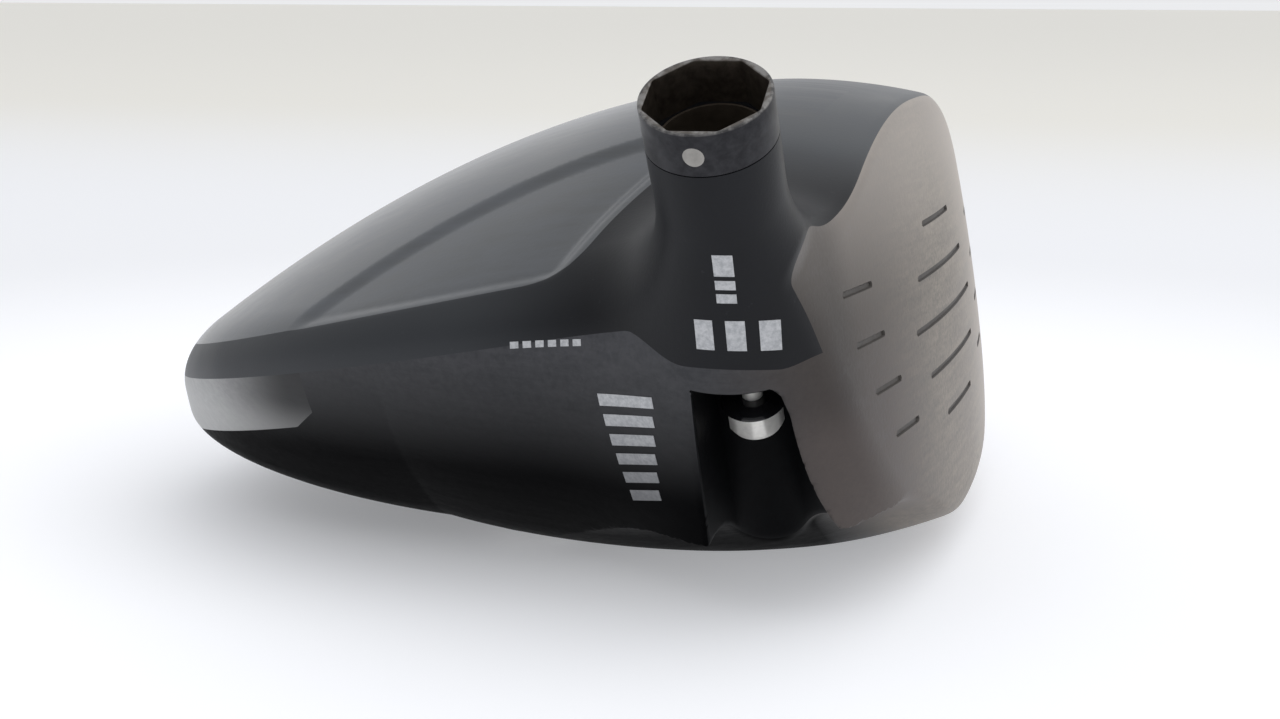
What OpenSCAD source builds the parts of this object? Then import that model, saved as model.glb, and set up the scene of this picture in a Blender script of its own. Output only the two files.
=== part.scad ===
// Golf driver head, left-handed, adjustable hosel, shown with the shaft and its adapter taken out.
// Frame: +X out of the face, +Y to the toe, +Z up, millimetres. The sole rests on Z = 0.

/* [Body] */
// Height of the crown above the ground at its top
crown_height = 60.3; // [59.5:0.1:61.5]
// Drop of the crown from its top to the trailing edge
crown_drop = 35.2; // [34:0.1:36]
// Loft of the face, degrees
face_loft = 9.4; // [8.5:0.1:10.5]
// Bulge and roll radius of the face
face_radius = 305; // [280:5:340]
// Thickness of the face plate
face_thickness = 2.8; // [2.4:0.1:3.2]
// Wall of the body shell
wall = 1.3; // [1.1:0.1:1.6]
// Depth of the two side recesses in the crown
recess_depth = 0.9; // [0.4:0.1:1.2]

/* [Hosel] */
// Outside diameter of the hosel
hosel_diameter = 14; // [13.6:0.1:14.4]
// Bore for the shaft adapter
bore_diameter = 10.5; // [10.2:0.05:10.8]
// Across corners of the octagonal mouth pocket
pocket_corners = 13.2; // [12.9:0.1:13.3]
// Depth at which the bore sleeve starts, below the mouth
sleeve_depth = 8.6; // [7:0.2:10]
// Length of the bare collar at the mouth
collar_length = 5.2; // [4.6:0.1:6.4]
// Diameter of the alignment dot
dot_diameter = 2.6; // [2:0.1:3]

/* [Hosel screw] */
// Diameter of the screw head
head_diameter = 7.6; // [7:0.1:7.8]
// Thickness of the screw head
head_height = 3.6; // [3.2:0.1:4]
// Diameter of the reduced neck of the screw
neck_diameter = 2.4; // [2.2:0.1:2.6]
// How far the captive screw drops from its seat
screw_drop = 8.2; // [6:0.1:8.6]

/* [Weights] */
// Diameter of the heel, toe and rear weights
weight_diameter = 12; // [11:0.1:12.4]
// Thickness of the head of a weight
weight_head = 2.6; // [2.2:0.1:3]
// Length of the threaded stem of a weight
stem_length = 5; // [4:0.1:5.5]

/* [Show] */
// Node to draw

/* [Hidden] */

$fn = 64;
pi = 3.14159265;
// Body outline: centre, half lengths rearward, forward, to the heel and to the toe.
xw = 14.8;
yw = 1;
a_rear = 71.7;
a_front = 72.1;
b_heel = 57.6;
b_toe = 62;
// Hosel axis: foot on the ground, tilt to the heel and fore-aft tilt, length up to the mouth.
foot = [37.9, -33.2, 0];
tilt = 32;
press = -0.7;
hosel_r = hosel_diameter / 2;
hosel_top = 73.4;
ax = [cos(tilt) * sin(press), -sin(tilt), cos(tilt) * cos(press)];
collar_s = hosel_top - collar_length;
pocket_s = hosel_top - sleeve_depth;
port_s = 40.4;
seat_t = 1.6;
chamber_s = 49;
bore_r = bore_diameter / 2;
sleeve_r = 5.9;
// Screw: where its head sits when it has dropped and hangs on its retainer, and its lengths.
washer_t = 1;
retainer_t = 1;
head_s = port_s - screw_drop - washer_t - 0.1;
neck_l = port_s + seat_t + retainer_t + 0.05 - head_s;
thread_l = 4.8;
// Weights: place on the sole and lean of the sole there.
heel_at = [2, -22.5];
toe_at = [2, 22.5];
rear_at = [-33, 0];
cup_r = weight_diameter / 2 + 1.4;
cup_h = weight_head + stem_length + 1.6;

// ---- smooth blends of two fields
function smax(a, b, k) = let (h = max(k - abs(a - b), 0) / k) max(a, b) + h * h * k / 4;
function smin(a, b, k) = -smax(-a, -b, k);
function step01(t, a, b) = let (u = min(1, max(0, (t - a) / (b - a)))) u * u * (3 - 2 * u);

// ---- the body as a field, negative inside
function rho(x, y) = let (
    n = x < xw ? 2.11 : 1.96,
    a = x < xw ? a_rear : a_front,
    b = y < yw ? b_heel : b_toe)
  pow(pow(abs((x - xw) / a), n) + pow(abs((y - yw) / b), n), 1 / n);
function recess(x, y, q) = let (d = abs(y - yw))
  step01(d - (32.8 - 0.366 * (x - 16)), 0, 2.6)
  * step01(0.962 - q, 0, 0.035)
  * step01(17 + 0.52 * (54 - d) - x, 0, 3);
function crown_z(x, y, q) = crown_height
  - 0.0061 * pow(max(x - 30.9, 0), 2)
  - crown_drop * pow(max(30.9 - x, 0) / 81, 1.81)
  - 20.7 * pow(abs(y - yw) / 58, 2.5)
  - recess_depth * recess(x, y, q);
function body(p) = let (
    q = rho(p.x, p.y),
    wk = 0.0216 * min(1, max(0.1, (p.x + 58) / 50)),
    side = (q - 1) * 58 + wk * pow(max(36.1 - p.z, 0), 2),
    top = (p.z - crown_z(p.x, p.y, q)) * 0.85)
  smax(top, side, 5);
function along(p) = (p - foot) * ax;
function off_axis(p) = let (d = p - foot, s = d * ax) sqrt(max(d * d - s * s, 0));
function neck(p) = let (s = along(p))
  max(off_axis(p) - hosel_r - 0.0023 * pow(max(62.7 - s, 0), 2), 18 - s, s - 80);
function outside(p) = max(smin(body(p), neck(p), 18.9), -12 - p.z);

// ---- closed skins: rays from an inner point, the crossing found by halving
function hit(c, d, lo, hi, n, kind, lift) = n == 0 ? c + d * (lo + hi) / 2 :
  let (m = (lo + hi) / 2, p = c + d * m,
       g = kind == 0 ? outside(p) : max(body(p) + lift, -12 - p.z))
  g < 0 ? hit(c, d, m, hi, n - 1, kind, lift) : hit(c, d, lo, m, n - 1, kind, lift);

module skin(c, w, turns, crowd, lats, kind, lift) {
  u = cross([1, 0, 0], w) / norm(cross([1, 0, 0], w));
  v = cross(w, u);
  rows = len(lats);
  ring = [for (t = lats) for (k = [0 : turns - 1]) let (f = 360 * k / turns + crowd * sin(360 * k / turns))
    hit(c, cos(t) * w + sin(t) * (cos(f) * u + sin(f) * v), 1, 190, 17, kind, lift)];
  pts = concat([hit(c, w, 1, 190, 17, kind, lift)], ring, [hit(c, -w, 1, 190, 17, kind, lift)]);
  last = len(pts) - 1;
  faces = concat(
    [for (k = [0 : turns - 1]) [0, 1 + k, 1 + (k + 1) % turns]],
    [for (r = [0 : rows - 2]) for (k = [0 : turns - 1])
      let (a = 1 + r * turns + k, b = 1 + r * turns + (k + 1) % turns)
      each [[a, a + turns, b], [b, a + turns, b + turns]]],
    [for (k = [0 : turns - 1]) [last, 1 + (rows - 1) * turns + (k + 1) % turns, 1 + (rows - 1) * turns + k]]);
  polyhedron(pts, [for (f = faces) [f[2], f[1], f[0]]], convexity = 6);
}

module outer_skin() skin(foot + 20 * ax, ax, 80, 28,
  [2.5, 5, 6.6, 7.4, 8.4, 9.6, 11, 13, 15, 17.5, 20.5, 24, 28, 32, 36, 40, 44.5, 49, 53, 57, 61, 65, 69,
   73, 77, 81, 85, 88.5, 92, 95, 97.5, 100, 102.5, 105, 107.5, 110, 112.5, 115, 118, 121, 125, 130, 136,
   144, 154, 166], 0, 0);
module inner_skin(t) skin([5, 0, 26], [0, 0, 1], 56, 0,
  [8, 16, 24, 32, 40, 47, 54, 60, 66, 71, 75, 79, 82, 85, 88, 92, 97, 103, 110, 120, 132, 146, 162], 1, t);

// ---- cutting solids: behind the face, above the sole
function face_x(y, z) = 54.4 - tan(face_loft) * (z - 30)
  - pow(y - 3.2, 2) / (2 * face_radius) - pow(z - 30, 2) / (2 * face_radius);
function clear_hosel(p) = 16 * step01(along(p), 51, 68) * (1 - step01(off_axis(p), 8, 15));
function face_hit(y, z, lo, hi, n) = n == 0 ? (lo + hi) / 2 :
  let (m = (lo + hi) / 2, g = m - face_x(y, z) - clear_hosel([m, y, z]))
  g < 0 ? face_hit(y, z, m, hi, n - 1) : face_hit(y, z, lo, m, n - 1);
function sole_z(x, y) = max(0, pow(x - 25, 2) / (2 * (x < 25 ? 265 : 130)) + y * y / 440 - 0.5);

// closed block between a curved sheet w = f(u, v) and the flat w = base
module sheet(us, vs, f, base) {
  m = len(vs);
  n = len(us);
  pts = concat([for (u = us) for (v = vs) f(u, v)], [for (u = us) for (v = vs) base(u, v)]);
  flat = n * m;
  faces = concat(
    [for (i = [0 : n - 2]) for (j = [0 : m - 2]) let (a = i * m + j)
      each [[a, a + m, a + 1], [a + 1, a + m, a + m + 1]]],
    [for (i = [0 : n - 2]) for (j = [0 : m - 2]) let (a = flat + i * m + j)
      each [[a, a + 1, a + m], [a + 1, a + m + 1, a + m]]],
    [for (i = [0 : n - 2]) let (a = i * m) each [[a, flat + a, a + m], [a + m, flat + a, flat + a + m]]],
    [for (i = [0 : n - 2]) let (a = i * m + m - 1)
      each [[a, a + m, flat + a], [a + m, flat + a + m, flat + a]]],
    [for (j = [0 : m - 2]) each [[j, j + 1, flat + j], [j + 1, flat + j + 1, flat + j]]],
    [for (j = [0 : m - 2]) let (a = (n - 1) * m + j)
      each [[a, flat + a, a + 1], [a + 1, flat + a, flat + a + 1]]]);
  polyhedron(pts, [for (f = faces) [f[2], f[1], f[0]]], convexity = 6);
}

module behind_face(back) sheet([for (y = [-98 : 5 : 87]) y], [for (z = [-14 : 4.5 : 85]) z],
  function (y, z) [face_hit(y, z, face_x(y, z) - 1, face_x(y, z) + 18, 15) - back, y, z],
  function (y, z) [-80, y, z]);
module behind_plain(back) sheet([for (y = [-98 : 5 : 87]) y], [for (z = [-14 : 4.5 : 85]) z],
  function (y, z) [face_x(y, z) - back, y, z],
  function (y, z) [-80, y, z]);
module over_sole(lift) sheet([for (x = [-75 : 5 : 95]) x], [for (y = [-85 : 5 : 80]) y],
  function (x, y) [x, y, 95],
  function (x, y) [x, y, sole_z(x, y) + lift]);

// ---- frames: the finished part stands on the middle of its bounding box
home_at = [-1.05, 8.08, 0];
module home() translate(home_at) children();
module on_axis(s) translate(foot + s * ax) rotate([tilt, press, 0]) children();
function lean(p) = [
  (p.x - 25) / (p.x < 25 ? 265 : 130),
  p.y / 220];
module on_sole(p) translate([p.x, p.y, sole_z(p.x, p.y)])
  rotate([atan(lean(p).y), -atan(lean(p).x), 0]) children();

// ---- lines that part the shell
function seam_z(x) = 21 + 0.203 * (min(x, 26) + 45.7) - 3.2 * step01(x, 25, 33) + 1.6 * step01(x, 43, 48);
module under_seam() translate([0, -57, 0]) rotate([88.3, 0, 0]) linear_extrude(360, center = true)
  polygon(concat([[-90, -40], [110, -40]], [for (x = [110, 60, 48, 46.5, 45, 43, 33, 31, 29, 27, 25, 0, -90])
    [x, seam_z(x)]]));
module outline(q) polygon([for (k = [0 : 5 : 355]) let (
    x0 = cos(k), y0 = sin(k), n = x0 < 0 ? 2.11 : 1.96,
    a = x0 < 0 ? a_rear : a_front, b = y0 < 0 ? b_heel : b_toe,
    t = pow(pow(abs(x0 / a), n) + pow(abs(y0 / b), n), -1 / n))
  [xw + q * t * x0, yw + q * t * y0]]);
module crown_zone() translate([0, 0, 24]) linear_extrude(60) difference() {
  intersection() {
    outline(0.955);
    translate([41 - face_radius, 3.2]) circle(face_radius, $fn = 240);
  }
  polygon([[17.2, -54], [30, -29.4], [38, -26], [60, -34], [60, -90], [8, -90], [13, -56.2]]);
}
module sole_zone() translate([0, 0, -20]) linear_extrude(50)
  polygon([for (k = [0 : 6 : 354]) [2 + 45 * cos(k), 31 * sin(k)]]);
module rear_zone() rotate([90, 0, 0]) linear_extrude(240, center = true)
  polygon([[-90, 1.6], [-23, 17.8], [-19.5, 20.5], [-21, 40], [-90, 40]]);

// ---- hosel port: a round channel round the screw, opening to the heel and the sole, with a lined back
module port(grow) {
  roof = port_s + 0.05 - 0.03 * grow;
  hull() {
    on_axis(-14) cylinder(h = roof + 14, r = 4.6 + grow);
    on_axis(0) rotate([90, 0, 0]) translate([0, 0, 13]) linear_extrude(14)
      polygon([[-3 - grow, roof], [4.4 + grow, roof], [5.9 + grow, 38.6],
        [18.9 + grow, -14], [-4.6 - grow, -14]]);
  }
}
module lining(r, h, inner) on_axis(20) difference() {
  cylinder(h = h, r = r);
  translate([0, 0, -1]) cylinder(h = 40, r = inner);
  translate([-20, -20, -1]) cube([40, 20, 40]);
  rotate(30) translate([0, -20, -1]) cube([20, 20, 40]);
}
module port_block() union() {
  on_axis(-10) cylinder(h = 80, r = 8.4);
  port(2);
}
module bore_void() on_axis(port_s) cylinder(h = 60, r = sleeve_r + 0.03);

module solid_head() intersection() {
  outer_skin();
  behind_face(0);
  over_sole(0);
}
module hollow() difference() {
  intersection() {
    inner_skin(wall);
    behind_plain(face_thickness - 0.3);
    over_sole(wall);
  }
  port_block();
}
module shell() difference() {
  solid_head();
  hollow();
  port(0);
  lining(5.6, port_s - 19.9, 4);
  bore_void();
  on_axis(collar_s) cylinder(h = 40, r = 20);
}
module face_zone() difference() {
  translate([20, -100, -20]) cube([80, 200, 120]);
  behind_plain(face_thickness);
  on_axis(51.5) cylinder(h = 40, r = 13);
  port(1);
}
// one closed mesh out of free-form pieces
module fused() resize([0, 0, 0]) children();

module upper_casting() color("#2b2d33") home() fused() difference() {
  shell();
  under_seam();
  crown_zone();
  face_zone();
}
module lower_casting() color("#4a4a4d") home() fused() difference() {
  intersection() {
    shell();
    under_seam();
  }
  sole_zone();
  rear_zone();
  face_zone();
}
module rear_pad() color("#a5a6a6") home() fused() intersection() {
  shell();
  under_seam();
  rear_zone();
}
module crown_panel() color("#3a3c40") home() fused() difference() {
  intersection() {
    shell();
    crown_zone();
  }
  under_seam();
}
module sole_plate() color("#202125") home() fused() difference() {
  intersection() {
    shell();
    sole_zone();
    under_seam();
  }
  for (p = [heel_at, toe_at, rear_at]) on_sole(p) translate([0, 0, -3]) cylinder(h = 12, r = cup_r + 0.02);
}

// score lines: [height, end, end]
pitch = 6.1;
mid_y = -3.8;
mid_lines = [for (k = [0 : 4]) [43 - pitch * k, mid_y, [10.5, 17.8, 22.5, 17.8, 10.5][k]]];
side_lines = [for (k = [0 : 3], m = [-1, 1]) [39.1 - 6 * k, mid_y + m * [42.4, 40.6, 36.6, 31.1][k], 5.1]];
module face_plate() color("#8a8580") home() fused() difference() {
  intersection() {
    solid_head();
    face_zone();
  }
  bore_void();
  difference() {
    for (l = concat(mid_lines, side_lines))
      translate([30, l[1] - l[2], l[0] - 0.45]) cube([40, 2 * l[2], 0.9]);
    behind_plain(0.35);
  }
}
// ---- exact turned parts
module port_liner() color("#15161a") home() lining(5.58, port_s - 20, 4.6);
module hosel_collar() color("#3a3a3d") home() on_axis(collar_s) difference() {
  cylinder(h = collar_length, r = hosel_r);
  translate([0, 0, -1]) rotate(22.5) cylinder(h = collar_length + 2, r = pocket_corners / 2, $fn = 8);
  dot_hole(0);
}
module hosel_liner() color("#1b1b1d") home() on_axis(port_s + seat_t) difference() {
  cylinder(h = pocket_s - port_s - seat_t, r = sleeve_r);
  translate([0, 0, chamber_s - port_s - seat_t]) cylinder(h = 40, r = bore_r);
  translate([0, 0, -1]) cylinder(h = 20, r = bore_r - 0.4);
}
module screw_seat() color("#6f7072") home() on_axis(port_s) difference() {
  cylinder(h = seat_t, r = sleeve_r);
  translate([0, 0, -1]) cylinder(h = seat_t + 2, r = neck_diameter / 2 + 0.25);
}
module dot_hole(less) translate([0, 0, 2.5]) rotate([90, 0, -1]) translate([0, 0, hosel_r - 0.5])
  cylinder(h = less > 0 ? 0.48 : 3, r = dot_diameter / 2);
module alignment_dot() color("#c9c6c0") home() on_axis(collar_s) dot_hole(1);

module hosel_screw() color("#b9b8b6") home() on_axis(head_s) difference() {
  union() {
    translate([0, 0, -head_height]) cylinder(h = 1.4, r1 = head_diameter / 2 - 0.9, r2 = head_diameter / 2);
    translate([0, 0, 1.4 - head_height]) cylinder(h = head_height - 1.4, r = head_diameter / 2);
    cylinder(h = neck_l, r = neck_diameter / 2);
    translate([0, 0, neck_l]) cylinder(h = thread_l, r = 2.4);
    translate([0, 0, neck_l + thread_l]) cylinder(h = 0.6, r1 = 2.4, r2 = 1.8);
  }
  translate([0, 0, -head_height - 1]) cylinder(h = 2.9, r = 1.9, $fn = 6);
}
module screw_washer() color("#0d0d0f") home() on_axis(head_s) difference() {
  union() {
    cylinder(h = washer_t / 2, r1 = head_diameter / 2 + 0.15, r2 = head_diameter / 2 - 0.3);
    translate([0, 0, washer_t / 2])
      cylinder(h = washer_t / 2, r1 = head_diameter / 2 - 0.3, r2 = head_diameter / 2 - 1.5);
  }
  translate([0, 0, -1]) cylinder(h = 4, r = neck_diameter / 2 + 0.05);
}
module screw_retainer() color("#8f9092") home() on_axis(port_s + seat_t + 0.05) difference() {
  cylinder(h = retainer_t, r = 2.9);
  translate([0, 0, -1]) cylinder(h = 4, r = neck_diameter / 2);
}

module cup(p) color("#5a5b5e") home() on_sole(p) difference() {
  translate([0, 0, 0.2]) cylinder(h = cup_h, r = cup_r);
  translate([0, 0, -1]) cylinder(h = weight_head + 1.9, r = weight_diameter / 2 + 0.15);
  translate([0, 0, -1]) cylinder(h = cup_h + 3, r = 2.65);
}
module weight(p) color("#8d8c89") home() on_sole(p) translate([0, 0, 0.5]) difference() {
  union() {
    cylinder(h = 0.5, r1 = weight_diameter / 2 - 0.5, r2 = weight_diameter / 2);
    translate([0, 0, 0.5]) cylinder(h = weight_head - 0.5, r = weight_diameter / 2);
    translate([0, 0, weight_head]) cylinder(h = stem_length, r = 2.5);
  }
  translate([0, 0, -1]) cylinder(h = 2.8, r = 2.4, $fn = 6);
  for (k = [0 : 5]) rotate(60 * k) translate([3.9, 0, -1]) cylinder(h = 1.5, r = 0.6);
}
module ring(p) color("#9b1f1f") home() on_sole(p) translate([0, 0, 0.5 + weight_head]) difference() {
  cylinder(h = 0.4, r = weight_diameter / 2 - 0.4);
  translate([0, 0, -1]) cylinder(h = 3, r = 2.55);
}
module heel_cup() cup(heel_at);
module toe_cup() cup(toe_at);
module rear_cup() cup(rear_at);
module heel_weight() weight(heel_at);
module toe_weight() weight(toe_at);
module rear_weight() weight(rear_at);
module heel_ring() ring(heel_at);
module toe_ring() ring(toe_at);
module rear_ring() ring(rear_at);

upper_casting();
lower_casting();
face_plate();
crown_panel();
sole_plate();
rear_pad();
hosel_collar();
hosel_liner();
alignment_dot();
port_liner();
screw_seat();
hosel_screw();
screw_washer();
screw_retainer();
heel_cup();
toe_cup();
rear_cup();
heel_weight();
toe_weight();
rear_weight();
heel_ring();
toe_ring();
rear_ring();
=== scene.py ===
import math

import bmesh
import bpy
import numpy as np
from mathutils import Matrix, Vector


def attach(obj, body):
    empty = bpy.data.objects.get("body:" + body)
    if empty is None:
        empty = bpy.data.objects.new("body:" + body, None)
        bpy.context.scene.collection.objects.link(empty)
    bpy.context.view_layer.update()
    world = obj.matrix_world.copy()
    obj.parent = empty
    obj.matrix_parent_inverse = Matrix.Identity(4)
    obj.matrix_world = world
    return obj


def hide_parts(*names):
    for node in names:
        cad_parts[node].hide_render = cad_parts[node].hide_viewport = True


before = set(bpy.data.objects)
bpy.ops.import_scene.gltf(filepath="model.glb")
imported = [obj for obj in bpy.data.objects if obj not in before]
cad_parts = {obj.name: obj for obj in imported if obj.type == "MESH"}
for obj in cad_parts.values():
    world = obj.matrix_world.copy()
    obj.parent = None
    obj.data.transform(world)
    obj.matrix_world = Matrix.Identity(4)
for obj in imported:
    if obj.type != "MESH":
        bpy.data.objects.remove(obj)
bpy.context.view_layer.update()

# Lengths in the shape code are millimetres, in part.scad's axes before its home shift.
# Materials, floor, lights and camera use the frame itself, in metres.
HOME = np.array([-1.05, 8.08, 0.0])
MM = 0.001

# ------------------------------------------------------------ the head's form
# body outline: centre, and half lengths rearward, forward, to the heel and to the toe
MID_X, MID_Y = 14.8, 1.0
HALF_REAR, HALF_FRONT, HALF_HEEL, HALF_TOE = 71.7, 72.1, 57.6, 62.0
OUTLINE_SCALE = 58               # turns the outline's ratio into about a millimetre
RIM_Z = 36.1                     # height of the widest line
CREST_X, CREST_Z = 30.9, 60.3    # highest point of the crown
CROWN_END = 0.955                # share of the outline that the crown panel covers
FACE_X, FACE_Y, FACE_Z, FACE_LOFT, FACE_R = 54.4, 3.2, 30, math.radians(9.4), 305
SOLE_X, SOLE_R_REAR, SOLE_R_FRONT, SOLE_R_SIDE, SOLE_FLAT = 25, 265, 130, 220, 0.5

# hosel axis: where it meets the ground, its lean, and its own axes
FOOT = np.array([37.9, -33.2, 0.0])
TILT, PRESS = math.radians(32), math.radians(-0.7)
ct, st, cp, sp = math.cos(TILT), math.sin(TILT), math.cos(PRESS), math.sin(PRESS)
EX = np.array([cp, 0, -sp])
EY = np.array([sp * st, ct, cp * st])
AX = np.array([sp * ct, -st, cp * ct])
AXES = np.stack([EX, EY, AX], 1)
HOSEL_R, SLEEVE_R = 7.0, 5.9
# places along the hosel axis: mouth, foot of the collar, roof of the port, top of the screw head
MOUTH_S, COLLAR_S, PORT_S, HEAD_S = 73.4, 68.2, 40.4, 31.1
# port: radius of its back, and its front edge at the corner and at the low end
PORT_R, CORNER_U, CORNER_S, END_U, END_S = 4.6, 5.9, 38.6, 18.9, -14
PORT_SWELL, SWELL_SHARE = 1.5, 0.58

WEIGHTS = {"heel": (2.0, -22.5), "toe": (2.0, 22.5), "rear": (-33.0, 0.0)}
WEIGHT_R = 7.4


def smax(a, b, k):
    """The larger of a and b, with the crease rounded over a width of k."""
    h = np.maximum(k - np.abs(a - b), 0) / k
    return np.maximum(a, b) + h * h * k / 4


def smin(a, b, k):
    return -smax(-a, -b, k)


def step01(t, a, b):
    """0 up to a, 1 from b on, and a smooth step between."""
    u = np.clip((t - a) / (b - a), 0, 1)
    return u * u * (3 - 2 * u)


def q_of(x, y):
    """1 on the body outline seen from above, less inside it."""
    dx, dy = x - MID_X, y - MID_Y
    n = np.where(dx < 0, 2.11, 1.96)
    a = np.where(dx < 0, HALF_REAR, HALF_FRONT)
    b = np.where(dy < 0, HALF_HEEL, HALF_TOE)
    return (np.abs(dx / a) ** n + np.abs(dy / b) ** n + 1e-12) ** (1 / n)


def recess(x, y, q):
    """1 in the shallow recess along each side of the crown, 0 outside it."""
    d = np.abs(y - MID_Y)
    return (step01(d - (32.8 - 0.366 * (x - 16)), 0, 2.6) * step01(0.962 - q, 0, 0.035)
            * step01(17 + 0.52 * (54 - d) - x, 0, 3))


def crown_z(x, y, q):
    return (CREST_Z - 0.0061 * np.maximum(x - CREST_X, 0) ** 2
            - 35.2 * (np.maximum(CREST_X - x, 0) / 81) ** 1.81
            - 20.7 * (np.abs(y - MID_Y) / 58) ** 2.5 - 0.9 * recess(x, y, q))


def axis_co(P):
    """Coordinates along the hosel's own axes, and the distance from its axis."""
    d = P - FOOT
    u, v, s = d @ EX, d @ EY, d @ AX
    return u, v, s, np.hypot(u, v)


def face_x(y, z):
    return (FACE_X - math.tan(FACE_LOFT) * (z - FACE_Z) - (y - FACE_Y) ** 2 / (2 * FACE_R)
            - (z - FACE_Z) ** 2 / (2 * FACE_R))


def hosel_clear(s, r):
    """How far the face's plane stands off, so that it does not cut the hosel."""
    return 16 * step01(s, 51, 68) * (1 - step01(r, 8, 15))


def sole_z(x, y):
    along = (x - SOLE_X) ** 2 / (2 * np.where(x < SOLE_X, SOLE_R_REAR, SOLE_R_FRONT))
    return np.maximum(0, along + y * y / (2 * SOLE_R_SIDE) - SOLE_FLAT)


def hull_planes(points):
    bm = bmesh.new()
    for p in points:
        bm.verts.new(p)
    bmesh.ops.convex_hull(bm, input=bm.verts)
    bmesh.ops.dissolve_limit(bm, angle_limit=0.002, verts=bm.verts, edges=bm.edges)
    bm.normal_update()
    planes = [(*f.normal, -f.normal.dot(f.verts[0].co)) for f in bm.faces]
    bm.free()
    return np.array(planes)


def port_points():
    """Corners of the port's hull, in the hosel's axes."""
    roof = PORT_S + 0.05
    pts = [(PORT_R * math.cos(t), PORT_R * math.sin(t), s)
           for t in np.linspace(0, 2 * math.pi, 72, endpoint=False) for s in (END_S, roof)]
    for u, s in ((-3, roof), (4.4, roof), (CORNER_U, CORNER_S), (END_U, END_S), (-PORT_R, END_S)):
        pts += [(u, -13, s), (u, -27, s)]
    return pts


PORT = hull_planes(port_points())


def port_d(u, v, s):
    """Distance to the port's hull, negative inside it."""
    out = np.full(len(u), 20.0)
    near = (s < 46) & (np.hypot(u, v) < 34)
    L = np.stack([u[near], v[near], s[near]], 1)
    best = np.full(len(L), -1e9)
    for n in PORT:
        best = np.maximum(best, L @ n[:3] + n[3])
    # the edge beside the face swells into the opening
    t = (CORNER_S - L[:, 2]) / (CORNER_S - END_S)
    swell = PORT_SWELL * np.sin(math.pi * np.clip(t / SWELL_SHARE, 0, 1))
    edge = CORNER_U + (END_U - CORNER_U) * t - swell
    out[near] = np.maximum(best, (L[:, 0] - edge) * 0.96)
    return out


def skin(P):
    """Signed value of the finished outer surface: negative inside."""
    x, y, z = P[:, 0], P[:, 1], P[:, 2]
    q = q_of(x, y)
    u, v, s, r = axis_co(P)
    wk = 0.0216 * np.clip((x + 58) / 50, 0.1, 1)
    side = (q - 1) * OUTLINE_SCALE + wk * np.maximum(RIM_Z - z, 0) ** 2
    top = (z - crown_z(x, y, q)) * 0.85
    neck = np.maximum(r - HOSEL_R - 0.0023 * np.maximum(62.7 - s, 0) ** 2, 18 - s)
    f = smin(smax(side, top, 5), neck, 18.9)
    f = smax(f, x - face_x(y, z) - hosel_clear(s, r), 1.3)
    nose = step01(x, 34, 50)     # the chin below the face is rounder and a little lower
    f = smax(f, sole_z(x, y) - 1.1 * nose - z, 2.2 + 2.8 * nose)
    f = smax(f, -port_d(u, v, s), 0.7 + 3.6 * step01(13 - z, 0, 10) * step01(u, 1, 7))
    return np.maximum(f, s - 78)


def grad(f, P, e=0.03):
    """Gradient of f at the points, by central differences."""
    g = np.empty_like(P)
    for k in range(3):
        d = np.zeros(3)
        d[k] = e
        g[:, k] = (f(P + d) - f(P - d)) / (2 * e)
    return g


def settle(P, f):
    """Moves points onto the surface f = 0."""
    for _ in range(3):
        v = f(P)
        g = grad(f, P)
        n2 = np.maximum((g * g).sum(1), 0.05)
        mv = -(v / n2)[:, None] * g
        ln = np.linalg.norm(mv, axis=1, keepdims=True)
        P = P + mv * np.minimum(1, 0.6 / np.maximum(ln, 1e-9))
    return P


def settle2(P, f, h, steps=4):
    """Moves points onto the curve where f and h are both zero."""
    for _ in range(steps):
        a, b = f(P), h(P)
        ga, gb = grad(f, P), grad(h, P)
        aa, bb, ab = (ga * ga).sum(1) + 1e-6, (gb * gb).sum(1) + 1e-6, (ga * gb).sum(1)
        det = np.maximum(aa * bb - ab * ab, 1e-3 * aa * bb)
        la, lb = (bb * a - ab * b) / det, (aa * b - ab * a) / det
        mv = -(la[:, None] * ga + lb[:, None] * gb)
        ln = np.linalg.norm(mv, axis=1, keepdims=True)
        P = P + mv * np.minimum(1, 0.5 / np.maximum(ln, 1e-9))
    return P


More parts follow.
